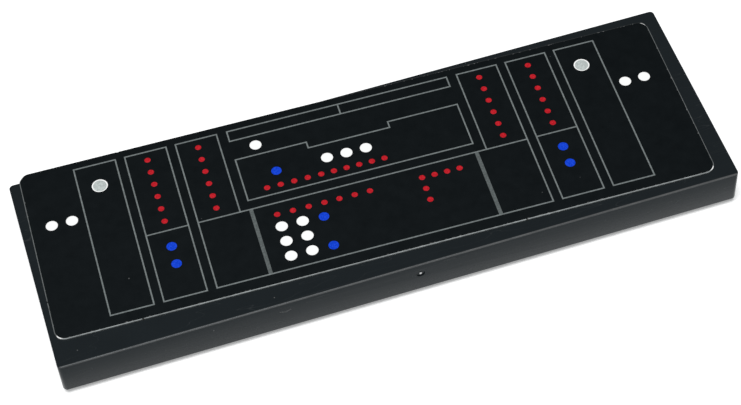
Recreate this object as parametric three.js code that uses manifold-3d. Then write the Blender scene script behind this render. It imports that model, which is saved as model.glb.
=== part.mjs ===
// A smooth plastic building tile, two by six stud pitches, with a printed control-panel label on its top.
// Millimetres, +Z up. The origin is the middle of the tile, on the surface that it stands on.
import * as THREE from "three";
import { mergeVertices } from "three/addons/utils/BufferGeometryUtils.js";
import Module from "manifold-3d";

const wasm = await Module();
wasm.setup();

// ---- Tile: one moulding, hollow underneath ----
const PITCH = 8;
const FIT_GAP = 0.1;
const STUDS_LONG = 6;
const STUDS_WIDE = 2;
const TILE_LENGTH = STUDS_LONG * PITCH - 2 * FIT_GAP;
const TILE_WIDTH = STUDS_WIDE * PITCH - 2 * FIT_GAP;
const TILE_HEIGHT = 3.2;
const WALL = 1.5;
const TOP_PLATE = 1.0;
const CORNER_RADIUS = 0.3;
const EDGE_BEVEL = 0.12;
const GROOVE_HEIGHT = 0.4;
const GROOVE_DEPTH = 0.3;
const STUD_DIAMETER = 4.8;
const TUBE_DIAMETER = PITCH * Math.SQRT2 - STUD_DIAMETER;
const TUBE_SHORTFALL = 0.15;
const TUBE_PLACES = ["far_left", "left", "middle", "right", "far_right"];

// ---- Label: adhesive, white film, coloured patches, black ground with windows, printed lines ----
const LABEL_LENGTH = 46.07;
const LABEL_WIDTH = 14.26;
const LABEL_CORNER_RADIUS = 0.75;
const LABEL_TURN = THREE.MathUtils.degToRad(-1.63);
const LABEL_X = -0.47;
const LABEL_Y = 0.59;
const CUT_SHIFT = 0.18;
const ADHESIVE = 0.03;
const FILM = 0.1;
const PATCH = 0.02;
const GROUND = 0.04;
const LINE_INK = 0.02;
const CUT_MARGIN = 0.06;
const FILM_BOTTOM = ADHESIVE;
const FILM_TOP = FILM_BOTTOM + FILM;
const PATCH_TOP = FILM_TOP + PATCH;
const GROUND_TOP = FILM_TOP + GROUND;
const LINE_TOP = GROUND_TOP + LINE_INK;

// ---- Finishes, and how finely round shapes are divided ----
const FINISHES = {
  plastic: { color: 0x101214, roughness: 0.3 },
  adhesive: { color: 0xb9b4a4, roughness: 0.6 },
  film: { color: 0xf2f2ef, roughness: 0.45 },
  black: { color: 0x0b0f11, roughness: 0.5 },
  red: { color: 0xd3202f, roughness: 0.4 },
  blue: { color: 0x143cc8, roughness: 0.4 },
  grey: { color: 0xb9bdbb, roughness: 0.4 },
  line: { color: 0x969b9b, roughness: 0.5 },
  divider: { color: 0x6a7070, roughness: 0.5 },
};
const TUBE_SIDES = 32;
const PATCH_SIDES = 16;
const RED_WINDOW_SIDES = 10;
const LAMP_WINDOW_SIDES = 14;
const DIAL_WINDOW_SIDES = 18;
const CORNER_STEPS = 4;

// ---- Printed layout, measured from the middle of the print ----
const LINE = 0.1;
const DIVIDER_LINE = 0.27;
const PANEL_HALF = 8.05;
const PANEL_GAP = 0.746;
const BOX_WIDTH = 2.955;
const BOX_GAP = 0.676;
const TOP = 6.46;
const MID = -0.62;
const BOTTOM = -6.25;
const BAR_BOTTOM = 5.56;
const NOTCHED_TOP = 3.85;
const NOTCHED_BOTTOM = 0.16;
const NOTCH_FLOOR = 3.32;
const NOTCH_HALF = 2.95;
const [THIRD_BOX, SECOND_BOX, OUTER_BOX] = [0, 1, 2].map((n) => {
  const inner = PANEL_HALF + PANEL_GAP + n * (BOX_WIDTH + BOX_GAP);
  return { inner, outer: inner + BOX_WIDTH, middle: inner + BOX_WIDTH / 2 };
});

const RED_RADIUS = 0.22;
const BLUE_RADIUS = 0.36;
const WHITE_RADIUS = 0.42;
const GREY_RADIUS = 0.47;
const GREY_WINDOW_RADIUS = 0.56;
const TRAP = 0.08;
const PATCH_CLEARANCE = 0.03;

// Where the red rows start, and the step from one dot to the next. Each run is a count, a start and a step,
// because the long rows are printed in two halves with different steps.
const COLUMN_START = TOP - 0.72;
const COLUMN_STEP = -1.102;
const UPPER_ROW = { y: 0.85, runs: [[5, -6.53, 0.963], [5, -1.77, 0.908]] };
const LOWER_ROW = { y: -1.57, runs: [[4, -6.44, 1.113], [3, -2.04, 1.085]] };
const CORNER_ROW = { x: 3.85, y: -1.58, step: 0.897, down: -0.98 };
const BLUE_HEIGHTS = { upper: MID - 1.355, lower: MID - 2.85 };
const DIAL_HEIGHT = TOP - 1.875;
const END_LAMPS = { x: 19.96, y: 2.215, step: 1.41 };
const THREE_LAMPS = { x: -1.92, y: 2.125, step: 1.4 };
const SIX_LAMPS = { x: -6.39, y: -2.63, across: 1.47, down: -1.275 };

// A row of equal dots that starts at x, y and steps by dx, dy.
function dotRow(count, x, y, dx, dy) {
  return Array.from({ length: count }, (_, n) => ({ x: x + n * dx, y: y + n * dy }));
}

const redColumn = (x) => dotRow(6, x, COLUMN_START, 0, COLUMN_STEP);
const redRow = ({ y, runs }) => runs.flatMap(([count, x, step]) => dotRow(count, x, y, step, 0));
const RED_ROWS = {
  red_column_left_second: redColumn(-SECOND_BOX.middle),
  red_column_left_third: redColumn(-THIRD_BOX.middle),
  red_column_right_third: redColumn(THIRD_BOX.middle),
  red_column_right_second: redColumn(SECOND_BOX.middle),
  red_row_upper_panel: redRow(UPPER_ROW),
  red_row_lower_panel: redRow(LOWER_ROW),
};
const RED_CORNER = {
  across: dotRow(4, CORNER_ROW.x, CORNER_ROW.y, CORNER_ROW.step, 0),
  down: dotRow(3, CORNER_ROW.x, CORNER_ROW.y, 0, CORNER_ROW.down),
};
const BLUE_DOTS = {
  blue_dot_left_upper: { x: -SECOND_BOX.middle, y: BLUE_HEIGHTS.upper },
  blue_dot_left_lower: { x: -SECOND_BOX.middle, y: BLUE_HEIGHTS.lower },
  blue_dot_right_upper: { x: SECOND_BOX.middle, y: BLUE_HEIGHTS.upper },
  blue_dot_right_lower: { x: SECOND_BOX.middle, y: BLUE_HEIGHTS.lower },
  blue_dot_upper_panel: { x: -5.56, y: 2.08 },
  blue_dot_lower_panel_upper: { x: -3.44, y: -2.71 },
  blue_dot_lower_panel_lower: { x: -3.44, y: -5.22 },
};
const GREY_DOTS = {
  grey_dial_left: { x: -OUTER_BOX.middle, y: DIAL_HEIGHT },
  grey_dial_right: { x: OUTER_BOX.middle, y: DIAL_HEIGHT },
};
const WHITE_DOTS = [
  ...dotRow(2, END_LAMPS.x, END_LAMPS.y, END_LAMPS.step, 0),
  ...dotRow(2, -END_LAMPS.x, END_LAMPS.y, -END_LAMPS.step, 0),
  { x: -6.39, y: 4.73 },
  ...dotRow(3, THREE_LAMPS.x, THREE_LAMPS.y, THREE_LAMPS.step, 0),
  ...dotRow(3, SIX_LAMPS.x, SIX_LAMPS.y, 0, SIX_LAMPS.down),
  ...dotRow(3, SIX_LAMPS.x + SIX_LAMPS.across, SIX_LAMPS.y, 0, SIX_LAMPS.down),
];

// ---- Solids ----

// A closed geometry as a solid that can be joined and cut.
function solid(geometry) {
  geometry.deleteAttribute("normal");
  geometry.deleteAttribute("uv");
  const merged = mergeVertices(geometry, 1e-5);
  const vertProperties = new Float32Array(merged.attributes.position.array);
  const triVerts = new Uint32Array(merged.index.array);
  return new wasm.Manifold(new wasm.Mesh({ numProp: 3, vertProperties, triVerts }));
}

// A solid as a geometry with flat-shaded faces.
function geometryOf(body) {
  const mesh = body.getMesh();
  const geometry = new THREE.BufferGeometry();
  geometry.setAttribute("position", new THREE.BufferAttribute(mesh.vertProperties, 3));
  geometry.setIndex(new THREE.BufferAttribute(mesh.triVerts, 1));
  geometry.computeVertexNormals();
  return geometry;
}

function union(bodies) {
  return bodies.reduce((whole, body) => whole.add(body));
}

function namedMesh(name, geometry, finish) {
  const material = new THREE.MeshStandardMaterial({ ...finish, metalness: 0 });
  const mesh = new THREE.Mesh(geometry, material);
  mesh.name = name;
  return mesh;
}

function roundedRectangle(length, width, radius) {
  const x = length / 2;
  const y = width / 2;
  const shape = new THREE.Shape();
  shape.moveTo(-x + radius, -y);
  shape.absarc(x - radius, -y + radius, radius, -Math.PI / 2, 0);
  shape.absarc(x - radius, y - radius, radius, 0, Math.PI / 2);
  shape.absarc(-x + radius, y - radius, radius, Math.PI / 2, Math.PI);
  shape.absarc(-x + radius, -y + radius, radius, Math.PI, Math.PI * 1.5);
  return shape;
}

// A plate with round corners between two heights.
function plate(length, width, radius, bottom, top) {
  const options = { depth: top - bottom, bevelEnabled: false, curveSegments: CORNER_STEPS };
  const geometry = new THREE.ExtrudeGeometry(roundedRectangle(length, width, radius), options);
  return geometry.translate(0, 0, bottom);
}

// An upright cylinder between two heights.
function cylinder(radius, x, y, bottom, top, sides) {
  const geometry = new THREE.CylinderGeometry(radius, radius, top - bottom, sides);
  return geometry.rotateX(Math.PI / 2).translate(x, y, (bottom + top) / 2);
}

function block(x0, y0, x1, y1, bottom, top) {
  const geometry = new THREE.BoxGeometry(x1 - x0, y1 - y0, top - bottom);
  return geometry.translate((x0 + x1) / 2, (y0 + y1) / 2, (bottom + top) / 2);
}

// ---- Tile ----

// The outer block stands on a slightly smaller foot, which leaves the groove round the bottom edge.
function tileBlock() {
  const inset = 2 * EDGE_BEVEL;
  const outline = roundedRectangle(TILE_LENGTH - inset, TILE_WIDTH - inset, CORNER_RADIUS - EDGE_BEVEL);
  const upper = new THREE.ExtrudeGeometry(outline, {
    depth: TILE_HEIGHT - GROOVE_HEIGHT - inset,
    bevelThickness: EDGE_BEVEL,
    bevelSize: EDGE_BEVEL,
    bevelSegments: 2,
    curveSegments: CORNER_STEPS,
  });
  upper.translate(0, 0, GROOVE_HEIGHT + EDGE_BEVEL);
  const x = TILE_LENGTH / 2 - GROOVE_DEPTH;
  const y = TILE_WIDTH / 2 - GROOVE_DEPTH;
  const foot = block(-x, -y, x, y, 0, TILE_HEIGHT / 2);
  return solid(upper).add(solid(foot));
}

// The tile is one moulding. Its plate, walls and tubes are separate simple bodies that touch but don't
// overlap, so that the collision made from each one leaves the cavity open.
function plateAndWalls() {
  const outer = tileBlock();
  const ceiling = TILE_HEIGHT - TOP_PLATE;
  const x = TILE_LENGTH / 2 - WALL;
  const y = TILE_WIDTH / 2 - WALL;
  const far = TILE_LENGTH;
  const regions = {
    tile_top_plate: block(-far, -far, far, far, ceiling, far),
    tile_front_wall: block(-far, -far, far, -y, -1, ceiling),
    tile_back_wall: block(-far, y, far, far, -1, ceiling),
    tile_left_wall: block(-far, -y, -x, y, -1, ceiling),
    tile_right_wall: block(x, -y, far, y, -1, ceiling),
  };
  return Object.entries(regions).map(([name, region]) => {
    return namedMesh(name, geometryOf(outer.intersect(solid(region))), FINISHES.plastic);
  });
}

// The tubes that grip between studs, each with a bore that takes one stud.
function tubes() {
  const ceiling = TILE_HEIGHT - TOP_PLATE;
  return TUBE_PLACES.map((place, n) => {
    const centre = (n + 1 - STUDS_LONG / 2) * PITCH;
    const outside = solid(cylinder(TUBE_DIAMETER / 2, centre, 0, TUBE_SHORTFALL, ceiling, TUBE_SIDES));
    const bore = solid(cylinder(STUD_DIAMETER / 2, centre, 0, -1, ceiling + 1, TUBE_SIDES));
    return namedMesh(`tile_tube_${place}`, geometryOf(outside.subtract(bore)), FINISHES.plastic);
  });
}

// ---- Label layers, placed from the middle of the print ----

// A layer as large as the label less a margin. The label was cut a little to the right of its print.
function sheet(margin, bottom, top) {
  const radius = LABEL_CORNER_RADIUS - margin;
  const geometry = plate(LABEL_LENGTH - 2 * margin, LABEL_WIDTH - 2 * margin, radius, bottom, top);
  return geometry.translate(CUT_SHIFT, 0, 0);
}

function labelAdhesive() {
  return namedMesh("label_adhesive", sheet(0, 0, FILM_BOTTOM), FINISHES.adhesive);
}

function labelFilm() {
  return namedMesh("label_film", sheet(0, FILM_BOTTOM, FILM_TOP), FINISHES.film);
}

// A patch of colour under a straight row of windows: as wide as a window and its trap, with round ends.
function stripUnder(dots, spare, bottom, top) {
  const radius = RED_RADIUS + TRAP + spare;
  const first = dots[0];
  const last = dots[dots.length - 1];
  const length = Math.abs(last.x - first.x) + 2 * radius;
  const width = Math.abs(last.y - first.y) + 2 * radius;
  const geometry = plate(length, width, radius, bottom, top);
  return geometry.translate((first.x + last.x) / 2, (first.y + last.y) / 2, 0);
}

function cornerUnder(spare, bottom, top) {
  const strips = [RED_CORNER.across, RED_CORNER.down];
  return union(strips.map((dots) => solid(stripUnder(dots, spare, bottom, top))));
}

function redPatches() {
  const rows = Object.entries(RED_ROWS).map(([name, dots]) => {
    return namedMesh(name, stripUnder(dots, 0, FILM_TOP, PATCH_TOP), FINISHES.red);
  });
  const corner = geometryOf(cornerUnder(0, FILM_TOP, PATCH_TOP));
  return [...rows, namedMesh("red_corner_lower_panel", corner, FINISHES.red)];
}

function roundPatches(dots, radius, finish) {
  return Object.entries(dots).map(([name, dot]) => {
    const geometry = cylinder(radius, dot.x, dot.y, FILM_TOP, PATCH_TOP, PATCH_SIDES);
    return namedMesh(name, geometry, finish);
  });
}

function windowsThrough(dots, radius, sides) {
  return dots.map((dot) => solid(cylinder(radius, dot.x, dot.y, 0, 1, sides)));
}

// Hollows in the ground's underside that the red and blue patches lie in, a little wider than they are.
function patchPockets() {
  const strips = Object.values(RED_ROWS).map((dots) => {
    return solid(stripUnder(dots, PATCH_CLEARANCE, 0, PATCH_TOP));
  });
  const blueRadius = BLUE_RADIUS + TRAP + PATCH_CLEARANCE;
  const rounds = Object.values(BLUE_DOTS).map((dot) => {
    return solid(cylinder(blueRadius, dot.x, dot.y, 0, PATCH_TOP, PATCH_SIDES));
  });
  return [...strips, ...rounds, cornerUnder(PATCH_CLEARANCE, 0, PATCH_TOP)];
}

// The black ground covers all but the cut edge. Round windows show the colour or the film under it.
function blackGround() {
  const redDots = [...Object.values(RED_ROWS).flat(), ...RED_CORNER.across, ...RED_CORNER.down.slice(1)];
  const cuts = [
    ...windowsThrough(redDots, RED_RADIUS, RED_WINDOW_SIDES),
    ...windowsThrough(Object.values(BLUE_DOTS), BLUE_RADIUS, LAMP_WINDOW_SIDES),
    ...windowsThrough(WHITE_DOTS, WHITE_RADIUS, LAMP_WINDOW_SIDES),
    ...windowsThrough(Object.values(GREY_DOTS), GREY_WINDOW_RADIUS, DIAL_WINDOW_SIDES),
    ...patchPockets(),
  ];
  const body = solid(sheet(CUT_MARGIN, FILM_TOP, GROUND_TOP)).subtract(union(cuts));
  return namedMesh("label_black_ground", geometryOf(body), FINISHES.black);
}

// ---- Printed lines ----

// Right-angled corners, taken anticlockwise, moved outwards by a distance, or inwards by a negative one.
function offset(corners, distance) {
  const outwards = (from, to) => new THREE.Vector2(to.y - from.y, from.x - to.x).normalize();
  return corners.map((corner, n) => {
    const before = corners[(n + corners.length - 1) % corners.length];
    const after = corners[(n + 1) % corners.length];
    const step = outwards(before, corner).add(outwards(corner, after));
    return corner.clone().addScaledVector(step, distance);
  });
}

function rectangle(x0, y0, x1, y1) {
  const left = Math.min(x0, x1);
  const right = Math.max(x0, x1);
  return polygon([[left, y0], [right, y0], [right, y1], [left, y1]]);
}

function polygon(corners) {
  return corners.map(([x, y]) => new THREE.Vector2(x, y));
}

// An upright block with the given corners, between two heights.
function prism(corners, bottom, top) {
  const options = { depth: top - bottom, bevelEnabled: false };
  const geometry = new THREE.ExtrudeGeometry(new THREE.Shape(corners), options);
  return geometry.translate(0, 0, bottom);
}

// A drawn line round an outline, and round each opening inside it, given on the line's middle.
function lineAround(name, outline, openings = [outline]) {
  const ink = solid(prism(offset(outline, LINE / 2), GROUND_TOP, LINE_TOP));
  const holes = openings.map((corners) => solid(prism(offset(corners, -LINE / 2), 0, 1)));
  return namedMesh(name, geometryOf(ink.subtract(union(holes))), FINISHES.line);
}

function endBoxLines(side, sign) {
  const { inner, outer } = SECOND_BOX;
  const outerBox = rectangle(sign * OUTER_BOX.inner, BOTTOM, sign * OUTER_BOX.outer, TOP);
  const secondBox = rectangle(sign * inner, BOTTOM, sign * outer, TOP);
  const secondOpenings = [
    rectangle(sign * inner, BOTTOM, sign * outer, MID),
    rectangle(sign * inner, MID, sign * outer, TOP),
  ];
  return [
    lineAround(`line_${side}_outer_box`, outerBox),
    lineAround(`line_${side}_second_box`, secondBox, secondOpenings),
  ];
}

// The wide frame: two upright boxes above the middle line, and one long box below it.
function centreFrameLines() {
  const { inner, outer } = THIRD_BOX;
  const outline = polygon([
    [-outer, BOTTOM], [outer, BOTTOM], [outer, TOP], [inner, TOP],
    [inner, MID], [-inner, MID], [-inner, TOP], [-outer, TOP],
  ]);
  return lineAround("line_centre_frame", outline, [
    rectangle(-outer, BOTTOM, outer, MID),
    rectangle(-outer, MID, -inner, TOP),
    rectangle(inner, MID, outer, TOP),
  ]);
}

function topBarLines() {
  return lineAround("line_top_bar", rectangle(-PANEL_HALF, BAR_BOTTOM, PANEL_HALF, TOP), [
    rectangle(-PANEL_HALF, BAR_BOTTOM, 0, TOP),
    rectangle(0, BAR_BOTTOM, PANEL_HALF, TOP),
  ]);
}

function notchedBoxLines() {
  return lineAround("line_notched_box", polygon([
    [-PANEL_HALF, NOTCHED_BOTTOM], [PANEL_HALF, NOTCHED_BOTTOM],
    [PANEL_HALF, NOTCHED_TOP], [NOTCH_HALF, NOTCHED_TOP],
    [NOTCH_HALF, NOTCH_FLOOR], [-NOTCH_HALF, NOTCH_FLOOR],
    [-NOTCH_HALF, NOTCHED_TOP], [-PANEL_HALF, NOTCHED_TOP],
  ]));
}

function dividerLine(side, sign) {
  const x = sign * PANEL_HALF;
  const half = DIVIDER_LINE / 2;
  const geometry = block(x - half, BOTTOM + LINE / 2, x + half, MID - LINE / 2, GROUND_TOP, LINE_TOP);
  return namedMesh(`line_${side}_divider`, geometry, FINISHES.divider);
}

// ---- Assembly ----

const label = new THREE.Group();
label.position.set(LABEL_X, LABEL_Y, TILE_HEIGHT);
label.rotation.z = LABEL_TURN;
label.add(
  labelAdhesive(),
  labelFilm(),
  ...redPatches(),
  ...roundPatches(BLUE_DOTS, BLUE_RADIUS + TRAP, FINISHES.blue),
  ...roundPatches(GREY_DOTS, GREY_RADIUS, FINISHES.grey),
  blackGround(),
  ...endBoxLines("left", -1),
  ...endBoxLines("right", 1),
  centreFrameLines(),
  topBarLines(),
  notchedBoxLines(),
  dividerLine("left", -1),
  dividerLine("right", 1),
);

const scoringBoard = new THREE.Group();
scoringBoard.add(...plateAndWalls(), ...tubes(), label);

export default scoringBoard;
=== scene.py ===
# %% [markdown]
# # A printed panel on a plastic building tile
#
# The object is small: a black moulded tile, hollow underneath, with a label stuck a little crookedly on
# its top. The label is white film, printed black all over but for round windows, and then printed with
# thin grey lines. Everything here is in metres and sits where the CAD frame says, so nothing has to be
# fitted afterwards.
#
# The first cell loads that frame, and gives a way to read the box round any of its nodes. The finished
# model has to stay inside it.

import math

import bpy
from mathutils import Matrix, Vector


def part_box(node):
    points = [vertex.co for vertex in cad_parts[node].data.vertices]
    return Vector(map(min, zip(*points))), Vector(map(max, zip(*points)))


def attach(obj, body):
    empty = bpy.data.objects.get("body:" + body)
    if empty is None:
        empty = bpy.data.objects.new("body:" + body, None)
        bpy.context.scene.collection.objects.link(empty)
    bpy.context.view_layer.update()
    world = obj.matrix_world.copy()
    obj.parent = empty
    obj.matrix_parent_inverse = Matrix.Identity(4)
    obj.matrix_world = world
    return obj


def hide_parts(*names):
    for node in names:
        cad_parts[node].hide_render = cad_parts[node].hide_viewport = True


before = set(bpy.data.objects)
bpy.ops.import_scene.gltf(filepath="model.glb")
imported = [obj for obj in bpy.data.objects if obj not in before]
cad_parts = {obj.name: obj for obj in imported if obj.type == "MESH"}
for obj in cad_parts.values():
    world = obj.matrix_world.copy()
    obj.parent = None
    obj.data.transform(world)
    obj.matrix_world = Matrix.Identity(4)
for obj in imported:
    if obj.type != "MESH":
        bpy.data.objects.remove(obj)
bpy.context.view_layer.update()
MM = 0.001
print("nodes in the frame:", len(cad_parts))

# %% [markdown]
# ## The camera
#
# The camera stands in front of the tile and a little to its left, and looks steeply down at the middle of
# it. It is close enough that the near end of the tile is drawn clearly larger than the far end, and it is
# tilted a little about its own line of sight, as a camera held in the hand is.

# %% Place the camera
CAMERA_PLACE = Vector((-21.6, -86.64, 120.32)) * MM
CAMERA_AIM = Vector((-0.05, 0.48, 0)) * MM
CAMERA_TILT = math.radians(-4.47)
LENS = 104.05


def add_camera():
    """A camera that looks at its aim, tilted a little about its own line of sight."""
    bpy.ops.object.camera_add(location=CAMERA_PLACE)
    camera = bpy.context.object
    facing = (CAMERA_AIM - CAMERA_PLACE).to_track_quat("-Z", "Y").to_matrix()
    camera.rotation_euler = (facing @ Matrix.Rotation(CAMERA_TILT, 3, "Z")).to_euler()
    camera.data.lens = LENS
    camera.data.clip_start = 10 * MM
    bpy.context.scene.camera = camera
    return camera


camera = add_camera()
print("camera to tile:", round(camera.location.length / MM), "mm")

# %% [markdown]
# ## Tools for modelling
#
# A piece starts as a primitive, and its parts are then picked by where they are: the faces that look
# down, the edges along the top. These helpers do what a hand does with the mouse. `edit` opens a mesh
# with only the wanted parts selected, and `cut_or_join` adds a Boolean modifier and applies it at once.
# An operator acts on all that is selected, so every piece starts with nothing selected.

# %% Helpers for edit mode and modifiers
FLAT = 1e-7


def select_only(*objects):
    bpy.ops.object.select_all(action="DESELECT")
    for piece in objects:
        piece.select_set(True)
    bpy.context.view_layer.objects.active = objects[0]


def add_box(name, low, high):
    """A block between two corners, with its place in its mesh."""
    bpy.ops.object.select_all(action="DESELECT")
    low, high = Vector(low), Vector(high)
    bpy.ops.mesh.primitive_cube_add(size=1, location=(low + high) / 2, scale=high - low)
    piece = bpy.context.object
    piece.name = name
    bpy.ops.object.transform_apply(location=True, rotation=True, scale=True)
    return piece


def add_cylinder(name, radius, x, y, low, high, sides=64):
    """An upright cylinder between two heights."""
    bpy.ops.object.select_all(action="DESELECT")
    place = (x, y, (low + high) / 2)
    bpy.ops.mesh.primitive_cylinder_add(vertices=sides, radius=radius, depth=high - low, location=place)
    piece = bpy.context.object
    piece.name = name
    bpy.ops.object.transform_apply(location=True, rotation=True, scale=True)
    return piece


def edit(piece, kind, wanted):
    """Opens a piece in edit mode with only the wanted points, edges or faces selected."""
    select_only(piece)
    bpy.ops.object.mode_set(mode="EDIT")
    bpy.ops.mesh.select_mode(type=kind)
    bpy.ops.mesh.select_all(action="DESELECT")
    bpy.ops.object.mode_set(mode="OBJECT")
    mesh = piece.data
    parts = {"VERT": mesh.vertices, "EDGE": mesh.edges, "FACE": mesh.polygons}[kind]
    for part in parts:
        part.select = wanted(part)
    bpy.ops.object.mode_set(mode="EDIT")


def done():
    bpy.ops.mesh.select_all(action="DESELECT")
    bpy.ops.object.mode_set(mode="OBJECT")


def ends(piece, edge):
    return [piece.data.vertices[i].co for i in edge.vertices]


def joined(name, pieces):
    """Several pieces as one mesh."""
    select_only(*pieces)
    if len(pieces) > 1:
        bpy.ops.object.join()
    whole = bpy.context.object
    whole.name = name
    return whole


def cut_or_join(piece, tool, operation):
    """Cuts the tool out of a piece, or joins it on, and removes the tool."""
    select_only(piece)
    modifier = piece.modifiers.new("boolean", "BOOLEAN")
    modifier.operation = operation
    modifier.solver = "EXACT"
    modifier.object = tool
    bpy.ops.object.modifier_apply(modifier=modifier.name)
    bpy.data.objects.remove(tool, do_unlink=True)


def smooth(piece, degrees=35):
    select_only(piece)
    bpy.ops.object.shade_smooth_by_angle(angle=math.radians(degrees))


def finish_piece(piece, material, slot, *nodes):
    """Gives a piece its finish, parents it to the root body, and hides the CAD nodes it stands for."""
    piece.data.materials.clear()
    piece.data.materials.append(material)
    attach(piece, "root")
    if nodes:
        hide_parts(*nodes)
    print(f"{piece.name}: {len(piece.data.polygons)} faces")


# %% [markdown]
# ## Tools for materials
#
# A finish is a small sum: a colour, plus a little noise, times a mask. The class `Wire` wraps a shader
# socket so that the sum can be written in Python, and each operator adds its Math node. `Paint` is one
# material, and its `add` makes any other node from its type, its settings and the values of its sockets.

# %% Helpers for materials
class Wire:
    """The output of a shader node, with Python's own arithmetic."""

    def __init__(self, paint, socket):
        self.paint = paint
        self.socket = socket

    def __add__(self, other):
        return self.paint.math("ADD", self, other)

    __radd__ = __add__

    def __mul__(self, other):
        return self.paint.math("MULTIPLY", self, other)

    __rmul__ = __mul__

    def __sub__(self, other):
        return self.paint.math("SUBTRACT", self, other)

    def __rsub__(self, other):
        return self.paint.math("SUBTRACT", other, self)

    def __truediv__(self, other):
        return self.paint.math("DIVIDE", self, other)

    def __rtruediv__(self, other):
        return self.paint.math("DIVIDE", other, self)


class Paint:
    """One material, built node by node."""

    def __init__(self, name, roughness, gloss=0.5):
        self.material = bpy.data.materials.new(name)
        self.material.use_nodes = True
        self.tree = self.material.node_tree
        self.shader = self.tree.nodes["Principled BSDF"]
        self.set("Roughness", roughness)
        self.set("Specular IOR Level", gloss)

    def feed(self, socket, value):
        if isinstance(value, Wire):
            self.tree.links.new(value.socket, socket)
        else:
            socket.default_value = value

    def set(self, name, value):
        self.feed(self.shader.inputs[name], value)

    def add(self, kind, settings, inputs, output=0):
        node = self.tree.nodes.new(kind)
        for name, value in settings.items():
            setattr(node, name, value)
        for name, value in inputs.items():
            self.feed(node.inputs[name], value)
        return Wire(self, node.outputs[output])

    def math(self, operation, first, second):
        return self.add("ShaderNodeMath", {"operation": operation}, {0: first, 1: second})

    def vector(self, operation, first, second, output=0):
        return self.add("ShaderNodeVectorMath", {"operation": operation}, {0: first, 1: second}, output)

    def millimetres(self):
        """The piece's own coordinates, in millimetres."""
        metres = self.add("ShaderNodeTexCoord", {}, {}, "Object")
        return self.vector("MULTIPLY", metres, (1000, 1000, 1000))

    def step(self, value, low, high):
        """0 below low, 1 above high, and a smooth rise between."""
        settings = {"interpolation_type": "SMOOTHSTEP"}
        return self.add("ShaderNodeMapRange", settings, {"Value": value, "From Min": low, "From Max": high})

    def noise(self, place, scale, detail=2.0):
        return self.add("ShaderNodeTexNoise", {}, {"Vector": place, "Scale": scale, "Detail": detail})

    def blend(self, amount, first, second):
        """The first colour where amount is 0, the second where it is 1."""
        settings = {"data_type": "RGBA"}
        return self.add("ShaderNodeMix", settings, {0: amount, 6: first, 7: second}, 2)

    def bump(self, height, distance):
        return self.add("ShaderNodeBump", {}, {"Height": height, "Distance": distance, "Strength": 1.0})


def grey(level, blue=1.0):
    return (level, level, level * blue, 1)


# %% [markdown]
# ## The label's own frame
#
# The label isn't square to the tile. Two blue dots are printed level with each other, one on each side of
# the print's middle, so they give its turn and its place. Every printed piece is then placed in the
# print's own coordinates, as a printer would. The sheet was cut a little to the right of the print, which
# the film's box shows.

# %% Find the print's middle and turn, and the size of the sheet
DOTS_BELOW_MIDDLE = 1.975 * MM


def box_middle(node):
    low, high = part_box(node)
    return (low + high) / 2


left_dot, right_dot = box_middle("blue_dot_left_upper"), box_middle("blue_dot_right_upper")
LABEL_TURN = math.atan2(right_dot.y - left_dot.y, right_dot.x - left_dot.x)
turned = Matrix.Rotation(LABEL_TURN, 4, "Z")
PRINT_MIDDLE = (left_dot + right_dot) / 2 + turned @ Vector((0, DOTS_BELOW_MIDDLE, 0))
LABEL_TO_TILE = Matrix.Translation((PRINT_MIDDLE.x, PRINT_MIDDLE.y, 0)) @ turned
TILE_TO_LABEL = LABEL_TO_TILE.inverted()


def label_box(node):
    """The lowest and highest corner of a CAD node, in the label's coordinates."""
    points = [TILE_TO_LABEL @ v.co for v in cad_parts[node].data.vertices]
    low = Vector([min(p[axis] for p in points) for axis in range(3)])
    high = Vector([max(p[axis] for p in points) for axis in range(3)])
    return low, high


def place_on_tile(piece):
    """Moves a piece that was made in the label's coordinates onto the tile."""
    select_only(piece)
    piece.matrix_world = LABEL_TO_TILE @ piece.matrix_world
    bpy.ops.object.transform_apply(location=True, rotation=True, scale=True)
    return piece


film_low, film_high = label_box("label_film")
film_middle = (film_low + film_high) / 2
print("label size in mm:", [round(s / MM, 2) for s in film_high - film_low])
print("cut off the print's middle by mm:", [round(c / MM, 2) for c in film_middle.to_2d()])
print("label turn in degrees:", round(math.degrees(LABEL_TURN), 2))

# %% [markdown]
# ## The tile's box
#
# The CAD tile is ten bodies that touch. Only the box round all of them is needed here, because the
# visible tile is made again as one piece. Its far upper corner also tells the plastic's marks where the
# rims are.

# %% Find the tile's box
tile_nodes = sorted(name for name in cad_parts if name.startswith("tile_"))
tile_corners = [corner for name in tile_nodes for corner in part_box(name)]
tile_low = Vector([min(c[axis] for c in tile_corners) for axis in range(3)])
tile_high = Vector([max(c[axis] for c in tile_corners) for axis in range(3)])
print("tile in mm:", [round(s / MM, 2) for s in tile_high - tile_low])

# %% [markdown]
# ## The black plastic
#
# The tile is glossy black plastic that has been handled. Under a lamp, that shows as a gloss that varies
# slowly, as hair-fine scratches that run mostly lengthwise, and as a few specks of pale dust. The colour
# itself hardly changes, but for painted highlights on the front side: along a curved scratch, on the stub
# left by the runner that fed the mould, and along the top front edge.

# %% Black moulded plastic
COOL = (0.78, 0.93, 1.0, 1)
RIM = tile_high / MM
PLASTIC_DARK = (0.0095, 0.012, 0.0135, 1)
PLASTIC_LIGHT = (0.0135, 0.017, 0.0195, 1)
SCRATCH = Vector((-8.5, 0, 2.9)) * MM
SCRATCH_RADIUS = 0.62 * MM
SCRATCH_WIDTH = 0.035 * MM
SCRATCH_DROP = 0.44 * MM
SCAR = Vector((0.96, 0, 2.19)) * MM
NUB_HIGHLIGHT_RADIUS = 0.11 * MM
# Depth, height and strength of the painted highlight along the top front edge.
EDGE_HIGHLIGHT_DEPTH = 0.13
EDGE_HIGHLIGHT_HEIGHT = 0.12
EDGE_HIGHLIGHT_STRENGTH = 0.45
FRONT_SKIN = (0.02, 0.1)


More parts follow.
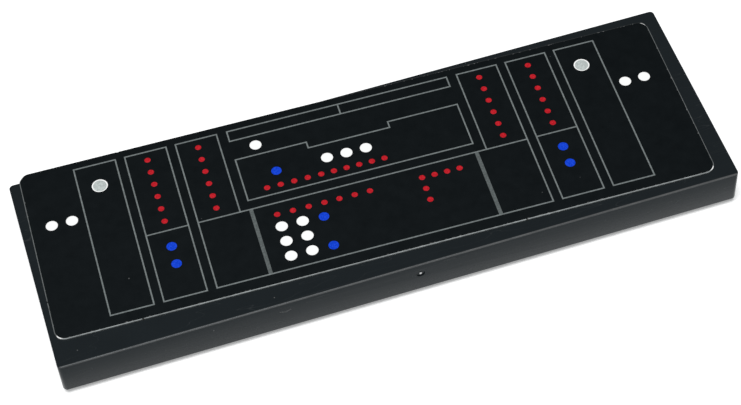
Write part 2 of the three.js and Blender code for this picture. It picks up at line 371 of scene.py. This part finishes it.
def scratches(paint, place, stretch, scale):
    """Thin lines where a stretched noise crosses its middle value."""
    stretched = paint.vector("MULTIPLY", place, stretch)
    crossing = paint.math("ABSOLUTE", paint.noise(stretched, scale, 1.0) - 0.5, 0.0)
    return 1 - paint.step(crossing, 0.0, 0.004)


def dust(paint, place, scale, size, share):
    """Small round specks: one in each cell of a Voronoi pattern, kept in a share of the cells."""
    inputs = {"Vector": place, "Scale": scale}
    near = paint.add("ShaderNodeTexVoronoi", {}, inputs, "Distance")
    cell = paint.add("ShaderNodeTexVoronoi", {}, inputs, "Color")
    chosen = paint.step(paint.vector("DOT_PRODUCT", cell, (1, 0, 0), "Value"), 1 - share, 1.001 - share)
    return (1 - paint.step(near, size * 0.6, size)) * chosen


def part_of(paint, place, axis):
    return paint.add("ShaderNodeSeparateXYZ", {}, {"Vector": place}, axis)


def along_front(paint, place, centre):
    """How far a place is from a centre, measured flat along the front side."""
    return paint.vector("DISTANCE", paint.vector("MULTIPLY", place, (1, 0, 1)), tuple(centre / MM), "Value")


def on_front(paint, place):
    """1 on the front side and just behind it, and 0 farther in."""
    return 1 - paint.step(part_of(paint, place, "Y") + RIM.y, *FRONT_SKIN)


def painted_scratch_highlight(paint, place):
    """Painted highlight: pale along the curved scratch, where its edges would catch the light."""
    reach = along_front(paint, place, SCRATCH)
    off_line = paint.math("ABSOLUTE", reach - SCRATCH_RADIUS / MM, 0.0)
    top_of_arc = (SCRATCH.z - SCRATCH_DROP) / MM
    low_part = 1 - paint.step(part_of(paint, place, "Z"), top_of_arc - 0.1, top_of_arc)
    return (1 - paint.step(off_line, 0.02, 0.07)) * low_part * on_front(paint, place) * 0.6


def painted_nub_highlight(paint, place):
    """Painted highlight: pale on the round stub that the runner left, where its rounded tip would catch the
    lamp.
    """
    near = 1 - paint.step(along_front(paint, place, SCAR), NUB_HIGHLIGHT_RADIUS / MM * 0.7, NUB_HIGHLIGHT_RADIUS / MM)
    return near * on_front(paint, place)


def painted_edge_highlight(paint, place):
    """Painted highlight: paler along the top front edge, where the rounded edge catches the lamp."""
    from_front = part_of(paint, place, "Y") + RIM.y
    at_edge = 1 - paint.step(from_front, EDGE_HIGHLIGHT_DEPTH / 2, EDGE_HIGHLIGHT_DEPTH)
    near_top = paint.step(part_of(paint, place, "Z"), RIM.z - EDGE_HIGHLIGHT_HEIGHT, RIM.z - EDGE_HIGHLIGHT_HEIGHT / 3)
    return at_edge * near_top * (0.55 + paint.noise(place, 1.1, 3.0) * 0.7)


def black_plastic():
    paint = Paint("black_plastic", 0.2, 0.11)
    place = paint.millimetres()
    slow = paint.noise(place, 0.35)
    lines = scratches(paint, place, (0.12, 1.0, 1.0), 1.4)
    fine_lines = scratches(paint, place, (1.0, 0.2, 1.0), 2.2)
    specks = dust(paint, place, 0.9, 0.05, 0.2)
    grain = paint.noise(place, 9.0, 3.0)
    shade = paint.blend(slow * 0.5 + grain * 0.5, PLASTIC_DARK, PLASTIC_LIGHT)
    # Painted highlights on the top front edge and the curved scratch are mixed with the real dust specks
    # and scratch lines.
    edge_highlight = painted_edge_highlight(paint, place) * EDGE_HIGHLIGHT_STRENGTH
    dust_and_highlights = paint.blend(specks * 0.4 + lines * 0.05 + painted_scratch_highlight(paint, place) + edge_highlight, shade, grey(0.2))
    # The runner's stub gets a painted highlight in pale grey.
    paint.set("Base Color", paint.blend(painted_nub_highlight(paint, place), dust_and_highlights, grey(0.75)))
    paint.set("Specular Tint", COOL)
    paint.set("Roughness", 0.14 + slow * 0.1 + lines * 0.15 + grain * 0.05)
    height = grain * 0.12 + slow * 0.6 - lines * 0.25 - fine_lines * 0.12
    paint.set("Normal", paint.bump(height, 0.004 * MM))
    return paint.material


plastic = black_plastic()

# %% [markdown]
# ## The tile
#
# A moulder's tile is a shallow box, open below. Three blocks make it, each with round upright corners:
# the outer block, a slightly smaller foot that leaves the groove round its bottom edge, and the cavity
# that is cut out. The edges of each are bevelled while it is still a plain block, because a bevel is
# cleanest on a clean corner.

# %% Shape the outer block, the foot and the cavity
PITCH = 8 * MM
STUD_RADIUS = 2.4 * MM
TUBE_RADIUS = PITCH / math.sqrt(2) - STUD_RADIUS
CORNER_RADIUS = 0.3 * MM
FOOT_CORNER_RADIUS = 0.12 * MM
CAVITY_CORNER_RADIUS = 0.15 * MM
GROOVE_HEIGHT = 0.4 * MM
GROOVE_DEPTH = 0.3 * MM
WALL = 1.5 * MM
CEILING = 2.2 * MM
TOP_BEVEL = 0.09 * MM
GROOVE_BEVEL = 0.12 * MM
SMALL_BEVEL = 0.05 * MM


def bevel_edges(piece, wanted, width, segments):
    edit(piece, "EDGE", lambda edge: wanted(ends(piece, edge)))
    bpy.ops.mesh.bevel(offset=width, segments=segments, affect="EDGES", profile=0.5)
    done()


def upright(points):
    a, b = points
    return abs(a.z - b.z) > FLAT


def level_at(height):
    return lambda points: all(abs(p.z - height) < FLAT for p in points)


def tile_block(name, inset, low, high, radius):
    """A block with round upright corners, smaller than the tile by an inset all round."""
    x, y = tile_high.x - inset, tile_high.y - inset
    block = add_box(name, (-x, -y, low), (x, y, high))
    bevel_edges(block, upright, radius, 6)
    return block


def tile_shell():
    shell = tile_block("tile_body", 0, GROOVE_HEIGHT, tile_high.z, CORNER_RADIUS)
    bevel_edges(shell, level_at(tile_high.z), TOP_BEVEL, 5)
    bevel_edges(shell, level_at(GROOVE_HEIGHT), GROOVE_BEVEL, 3)
    foot = tile_block("foot", GROOVE_DEPTH, 0, tile_high.z / 2, FOOT_CORNER_RADIUS)
    bevel_edges(foot, level_at(0), SMALL_BEVEL, 2)
    cut_or_join(shell, foot, "UNION")
    cavity = tile_block("cavity", WALL, -1 * MM, CEILING, CAVITY_CORNER_RADIUS)
    bevel_edges(cavity, level_at(CEILING), SMALL_BEVEL, 2)
    cut_or_join(shell, cavity, "DIFFERENCE")
    return shell


tile = tile_shell()
print("shell faces:", len(tile.data.polygons))

# %% [markdown]
# ## Tubes and mould marks
#
# Five solid posts are joined to the ceiling and then bored out, so each bore ends flat on the ceiling.
# Between them stand the low round marks that ejector pins leave. On the front side there is the round
# scar of the runner that fed the mould, and a thin curved scratch.

# %% Join the tubes, bore them, and add the mould marks
TUBE_END = 0.15 * MM
ROOT = CEILING + 0.4 * MM
PIN_RADIUS = 0.9 * MM
PIN_HEIGHT = 0.05 * MM
PIN_Y = 4.6 * MM


def tube_centres():
    return [n * PITCH for n in range(-2, 3)]


def pin_marks():
    spots = [((n + 0.5) * PITCH, side * PIN_Y) for n in range(-3, 3) for side in (-1, 1)]
    return [add_cylinder("pin", PIN_RADIUS, x, y, CEILING - PIN_HEIGHT, ROOT, 40) for x, y in spots]


posts = [add_cylinder("post", TUBE_RADIUS, x, 0, TUBE_END, ROOT, 96) for x in tube_centres()]
for post in posts:
    bevel_edges(post, level_at(TUBE_END), SMALL_BEVEL, 2)
cut_or_join(tile, joined("posts", posts + pin_marks()), "UNION")
bores = [add_cylinder("bore", STUD_RADIUS, x, 0, -1 * MM, CEILING, 96) for x in tube_centres()]
cut_or_join(tile, joined("bores", bores), "DIFFERENCE")
print("tile with tubes:", len(tile.data.polygons), "faces")

# %% The runner scar and the curved scratch on the front side
FRONT = tile_low.y
SCAR_RADIUS = 0.3 * MM
SCAR_DEPTH = 0.07 * MM
NUB_RADIUS = 0.15 * MM


def scar_tool():
    """A short cylinder that lies along Y, half in front of the front side and half inside it."""
    disc = add_cylinder("scar", SCAR_RADIUS, 0, 0, -SCAR_DEPTH, SCAR_DEPTH, 40)
    lying = Matrix.Rotation(math.radians(90), 4, "X")
    disc.matrix_world = Matrix.Translation((SCAR.x, FRONT, SCAR.z)) @ lying
    select_only(disc)
    bpy.ops.object.transform_apply(location=True, rotation=True, scale=True)
    return disc


def scar_nub():
    """The round stub left in the middle of the scar, level with the front side."""
    bpy.ops.object.select_all(action="DESELECT")
    place = (SCAR.x, FRONT + NUB_RADIUS, SCAR.z)
    bpy.ops.mesh.primitive_uv_sphere_add(segments=24, ring_count=14, radius=NUB_RADIUS, location=place)
    nub = bpy.context.object
    bpy.ops.object.transform_apply(location=True, rotation=True, scale=True)
    return nub


def curved_scratch():
    """A ring of which only the lowest arc is kept, half sunk in the front side."""
    bpy.ops.object.select_all(action="DESELECT")
    bpy.ops.mesh.primitive_torus_add(
        major_radius=SCRATCH_RADIUS, minor_radius=SCRATCH_WIDTH, major_segments=72, minor_segments=8,
        location=(SCRATCH.x, FRONT, SCRATCH.z), rotation=(math.radians(90), 0, 0))
    ring = bpy.context.object
    bpy.ops.object.transform_apply(location=True, rotation=True, scale=True)
    edit(ring, "FACE", lambda face: True)
    above = (0, 0, SCRATCH.z - SCRATCH_DROP)
    bpy.ops.mesh.bisect(plane_co=above, plane_no=(0, 0, 1), use_fill=True, clear_outer=True, threshold=FLAT)
    done()
    return ring


cut_or_join(tile, scar_tool(), "DIFFERENCE")
cut_or_join(tile, scar_nub(), "UNION")
cut_or_join(tile, curved_scratch(), "DIFFERENCE")
smooth(tile)
finish_piece(tile, plastic, "tile_plastic", *tile_nodes)

# %% [markdown]
# ## Inks and film
#
# Printed black on film is less glossy than the plastic, and its colour is broken by a very fine print
# grain. Near the cut edge the ink is chipped, and the white film shows through. The distance to the edge
# is worked out in the label's coordinates: the print's middle is taken away, and a Vector Rotate node
# undoes the label's turn.

# %% Film, adhesive and inks
def label_place(paint):
    """Millimetres from the middle of the print, along the label's own edges."""
    moved = paint.vector("SUBTRACT", paint.millimetres(), (PRINT_MIDDLE.x / MM, PRINT_MIDDLE.y / MM, 0))
    turn = {"rotation_type": "Z_AXIS", "invert": True}
    return paint.add("ShaderNodeVectorRotate", turn, {"Vector": moved, "Angle": LABEL_TURN})


def inside(paint, place, axis, low, high):
    """How far a place is from the nearer of two opposite edges."""
    along = part_of(paint, place, axis)
    return paint.math("MINIMUM", along - low / MM, high / MM - along)


def edge_distance(paint, place):
    """How far a place is from the label's nearest straight edge."""
    from_ends = inside(paint, place, "X", film_low.x, film_high.x)
    from_sides = inside(paint, place, "Y", film_low.y, film_high.y)
    return paint.math("MINIMUM", from_ends, from_sides)


def black_ink():
    paint = Paint("black_ink", 0.42, 0.15)
    place = label_place(paint)
    grain = paint.noise(place, 14.0, 2.0)
    mottle = paint.noise(place, 1.3, 3.0)
    chips = paint.step(paint.noise(place, 5.0, 2.0) - edge_distance(paint, place) * 3.2, 0.36, 0.42)
    specks = dust(paint, place, 0.7, 0.045, 0.12)
    shade = paint.blend(mottle * 0.6 + grain * 0.4, INK_DARK, INK_LIGHT)
    paint.set("Base Color", paint.blend(chips * 0.5 + specks * 0.25, shade, grey(0.3)))
    paint.set("Specular Tint", COOL)
    paint.set("Roughness", 0.36 + mottle * 0.16 + grain * 0.08)
    paint.set("Normal", paint.bump(grain * 0.5 + mottle, 0.003 * MM))
    return paint.material


def coloured_ink(name, colour, roughness=0.4):
    """An ink that covers the film unevenly, so that it is a little lighter where it is thin."""
    paint = Paint(name, roughness, 0.12)
    place = label_place(paint)
    cover = paint.noise(place, 9.0, 3.0)
    thin = tuple(min(1, c * 1.35 + 0.01) for c in colour[:3]) + (1,)
    paint.set("Base Color", paint.blend(paint.step(cover, 0.35, 0.7), colour, thin))
    paint.set("Roughness", roughness - 0.05 + cover * 0.15)
    paint.set("Normal", paint.bump(cover, 0.002 * MM))
    return paint.material


def white_film():
    """White all through, but its cut edge has painted light and shade, in streaks: lightest along the
    front, darker at the ends, and darkest along the back.
    """
    paint = Paint("white_film", 0.35, 0.4)
    place = label_place(paint)
    sheen = paint.noise(place, 2.0)
    near_edge = 1 - paint.step(edge_distance(paint, place), 0.08, 0.16)
    across = part_of(paint, place, "Y")
    front = 1 - paint.step(across - film_low.y / MM, 0.08, 0.2)
    back = 1 - paint.step(film_high.y / MM - across, 0.1, 0.5)
    # Painted light and shade: the cut edge is lighter at the front and darker towards the back.
    tone = SIDE_EDGE + front * (FRONT_EDGE - SIDE_EDGE) - back * (SIDE_EDGE - BACK_EDGE)
    streaks = 0.35 + paint.noise(place, 2.6, 4.0) * 1.3
    edge_colour = paint.blend(tone * streaks, SHADED_EDGE, LIT_EDGE)
    paint.set("Base Color", paint.blend(near_edge, FILM_WHITE, edge_colour))
    paint.set("Roughness", 0.3 + sheen * 0.15)
    paint.set("Normal", paint.bump(sheen, 0.003 * MM))
    return paint.material


def adhesive():
    """Clear glue, coloured dark grey with a random mottle; the dark stands partly for painted shade under
    the film's edge.
    """
    paint = Paint("adhesive", 0.5, 0.2)
    glue_mottle = paint.noise(paint.millimetres(), 3.0, 4.0)
    paint.set("Base Color", paint.blend(glue_mottle, grey(0.035, 0.85), grey(0.012, 0.9)))
    paint.set("Roughness", 0.4 + glue_mottle * 0.3)
    return paint.material


FILM_WHITE = grey(0.93, 0.99)
INK_DARK = (0.0012, 0.0018, 0.0022, 1)
INK_LIGHT = (0.0028, 0.004, 0.0048, 1)
# Colours and light levels of the painted light and shade on the film's cut edge.
SHADED_EDGE = (0.002, 0.0025, 0.003, 1)
LIT_EDGE = (0.93, 1.0, 1.0, 1)
FRONT_EDGE = 0.33
SIDE_EDGE = 0.12
BACK_EDGE = 0.03

film_white = white_film()
ink_black = black_ink()
ink_red = coloured_ink("red_ink", (0.40, 0.006, 0.013, 1))
ink_blue = coloured_ink("blue_ink", (0.001, 0.040, 0.50, 1))
ink_grey = coloured_ink("grey_ink", (0.40, 0.435, 0.425, 1))
ink_line = coloured_ink("line_ink", (0.135, 0.152, 0.152, 1))
ink_divider = coloured_ink("divider_ink", (0.08, 0.092, 0.092, 1))

# %% [markdown]
# ## The sheets of the label
#
# Adhesive, film and black ground are three thin sheets with round corners, one on another. Each starts as
# a block in the label's coordinates whose upright edges are bevelled into arcs. The film gets small nicks
# where a blade slipped, and the ground stops short of the cut edge, so a thin light line shows all round.

# %% Sheets with round corners
SHEET_CORNER = 0.75 * MM
NICKS = [(-16.99, -7.13), (-22.86, -3.89), (-15.76, 7.13), (9.6, -7.13)]
NICK_RADIUS = 0.09 * MM


def rounded_sheet(name, node):
    """A sheet as large and as thick as a CAD node, with smooth round corners."""
    low, high = label_box(node)
    sheet = add_box(name, low, high)
    inset = (film_high.x - high.x)
    bevel_edges(sheet, upright, SHEET_CORNER - inset, 12)
    return sheet


def nick(sheet, low, high):
    tools = [add_cylinder("nick", NICK_RADIUS, x * MM, y * MM, low, high, 5) for x, y in NICKS]
    cut_or_join(sheet, joined("nicks", tools), "DIFFERENCE")


glue = rounded_sheet("label_glue", "label_adhesive")
place_on_tile(glue)
smooth(glue)
finish_piece(glue, adhesive(), "adhesive", "label_adhesive")

film = rounded_sheet("label_sheet", "label_film")
nick(film, film_low.z - MM, film_high.z + MM)
place_on_tile(film)
smooth(film)
finish_piece(film, film_white, "white_film", "label_film")

# %% [markdown]
# ## The black ground and its windows
#
# The ground is one sheet with seventy round windows. The rows of red dots lie over strips of red, so the
# strips give where each row starts and ends. Blue and grey dots have nodes of their own, and the white
# ones are bare film, so only those need their places written down. All the windows are cut in one go.

# %% Where the windows are
RED_RADIUS = 0.22 * MM
BLUE_RADIUS = 0.36 * MM
WHITE_RADIUS = 0.42 * MM
DIAL_WINDOW_RADIUS = 0.56 * MM
TRAP = 0.08 * MM
LAMP_Y = 2.215
LAMP_X = [19.96, 21.37]


def label_middle(node):
    low, high = label_box(node)
    return (low + high) / 2


def strip_ends(node):
    """The first and the last dot over a strip, which is as wide as one dot and its trap."""
    low, high = label_box(node)
    reach = RED_RADIUS + TRAP
    return Vector((low.x + reach, high.y - reach)), Vector((high.x - reach, low.y + reach))


def dots_between(start, end, count):
    return [start.lerp(end, n / (count - 1)) for n in range(count)]


def row_in_two_halves(node, left_count, left_step, right_count, right_step):
    """A row whose dots are closer together in its right half than in its left."""
    start, end = strip_ends(node)
    left = [start + Vector((n * left_step * MM, 0)) for n in range(left_count)]
    right = [end - Vector((n * right_step * MM, 0)) for n in range(right_count)]
    return left + right


def corner_dots(node):
    """Four dots across and two more down, over a strip bent like the letter gamma."""
    start, end = strip_ends(node)
    across = dots_between(start, Vector((end.x, start.y)), 4)
    down = dots_between(start, Vector((start.x, end.y)), 3)
    return across + down[1:]


def lamp_row(count, x, y, dx, dy):
    """White dots in a row, from a first place and a step, in millimetres from the print's middle."""
    return [Vector((x + n * dx, y + n * dy)) * MM for n in range(count)]


columns = ["left_second", "left_third", "right_third", "right_second"]
red_dots = [dot for column in columns for dot in dots_between(*strip_ends(f"red_column_{column}"), 6)]
red_dots += row_in_two_halves("red_row_upper_panel", 5, 0.963, 5, 0.908)
red_dots += row_in_two_halves("red_row_lower_panel", 4, 1.113, 3, 1.085)
red_dots += corner_dots("red_corner_lower_panel")
blue_nodes = sorted(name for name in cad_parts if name.startswith("blue_dot"))
dial_nodes = ["grey_dial_left", "grey_dial_right"]
end_lamps = [Vector((side * x, LAMP_Y)) * MM for side in (-1, 1) for x in LAMP_X]
single_lamp = lamp_row(1, -6.39, 4.73, 0, 0)
middle_lamps = lamp_row(3, -1.92, 2.125, 1.4, 0)
six_lamps = [lamp for x in (-6.39, -4.92) for lamp in lamp_row(3, x, -2.63, 0, -1.275)]
white_dots = end_lamps + single_lamp + middle_lamps + six_lamps
print("red dots:", len(red_dots), "white dots:", len(white_dots), "blue dots:", len(blue_nodes))

# %% Cut the windows
def window_tools(dots, radius, sides, low, high):
    return [add_cylinder("window", radius, dot.x, dot.y, low, high, sides) for dot in dots]


ground = rounded_sheet("label_ground", "label_black_ground")
ground_low, ground_high = label_box("label_black_ground")
through = (ground_low.z - MM, ground_high.z + MM)
tools = window_tools(red_dots, RED_RADIUS, 28, *through)
tools += window_tools([label_middle(n) for n in blue_nodes], BLUE_RADIUS, 40, *through)
tools += window_tools(white_dots, WHITE_RADIUS, 48, *through)
tools += window_tools([label_middle(n) for n in dial_nodes], DIAL_WINDOW_RADIUS, 56, *through)
cut_or_join(ground, joined("windows", tools), "DIFFERENCE")
place_on_tile(ground)
smooth(ground)
finish_piece(ground, ink_black, "black_ink", "label_black_ground")

# %% [markdown]
# ## Dials, dots and lines
#
# The grey dials are smaller than their windows and show a white rim, so they are made again as smooth
# discs with a softened edge. The red strips, the blue dots and the lines already have the right shape in
# the frame. They only need their finish.

# %% Dials, and finishes for the other printed nodes
RIM_SHARE = 0.6


def dial(node):
    """A smooth disc of the CAD dial's size, with its upper rim softened by a share of its thickness."""
    low, high = label_box(node)
    centre = (low + high) / 2
    disc = add_cylinder(node + "_disc", (high.x - low.x) / 2, centre.x, centre.y, low.z, high.z, 64)
    bevel_edges(disc, level_at(high.z), (high.z - low.z) * RIM_SHARE, 2)
    place_on_tile(disc)
    smooth(disc)
    finish_piece(disc, ink_grey, "grey_ink", node)


for node in dial_nodes:
    dial(node)


def repaint(prefix, material):
    """Gives every CAD node whose name starts with prefix a new finish."""
    named = [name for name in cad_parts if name.startswith(prefix)]
    for name in named:
        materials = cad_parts[name].data.materials
        materials.clear()
        materials.append(material)
    print(prefix, "repainted:", len(named))


repaint("red_", ink_red)
repaint("blue_", ink_blue)
repaint("line_", ink_line)
for side in ("left", "right"):
    repaint(f"line_{side}_divider", ink_divider)

# %% [markdown]
# ## Floor and light
#
# The tile lies on white paper under one big soft lamp, which is almost straight above it. The paper is so
# bright that it hardly shows a shadow. The room beyond is dim, and the flat top mirrors the room, because
# that is what makes black plastic look black. The rounded front edge mirrors the lamp instead, as one
# thin bright line, and a painted highlight on the plastic there makes that line brighter.

# %% Floor, lamp and background
FLOOR_SIZE = 3.0
LAMP_PLACE = Vector((-0.1, -0.14, 0.8))
LAMP_SIZE = 0.45
LAMP_POWER = 7.5
PAPER_GLOW = 0.35
ROOM = (0.075, 0.09, 0.095, 1)


def add_floor():
    bpy.ops.object.select_all(action="DESELECT")
    bpy.ops.mesh.primitive_plane_add(size=FLOOR_SIZE, location=(0, 0, 0))
    floor = bpy.context.object
    floor.name = "floor"
    paint = Paint("white_floor", 0.7, 0.2)
    paint.set("Base Color", grey(0.8))
    paint.set("Emission Color", grey(1.0))
    paint.set("Emission Strength", PAPER_GLOW)
    floor.data.materials.append(paint.material)


def add_lamp(name, place, size, power):
    """A square soft lamp that faces the tile."""
    bpy.ops.object.light_add(type="AREA", location=place)
    lamp = bpy.context.object
    lamp.name = name
    lamp.rotation_euler = (-place).to_track_quat("-Z", "Y").to_euler()
    lamp.data.size = size
    lamp.data.energy = power


def set_background(colour):
    world = bpy.data.worlds.new("room")
    world.use_nodes = True
    world.node_tree.nodes["Background"].inputs["Color"].default_value = colour
    bpy.context.scene.world = world


add_floor()
add_lamp("soft_lamp", LAMP_PLACE, LAMP_SIZE, LAMP_POWER)
set_background(ROOM)
bpy.context.scene.view_settings.view_transform = "Standard"
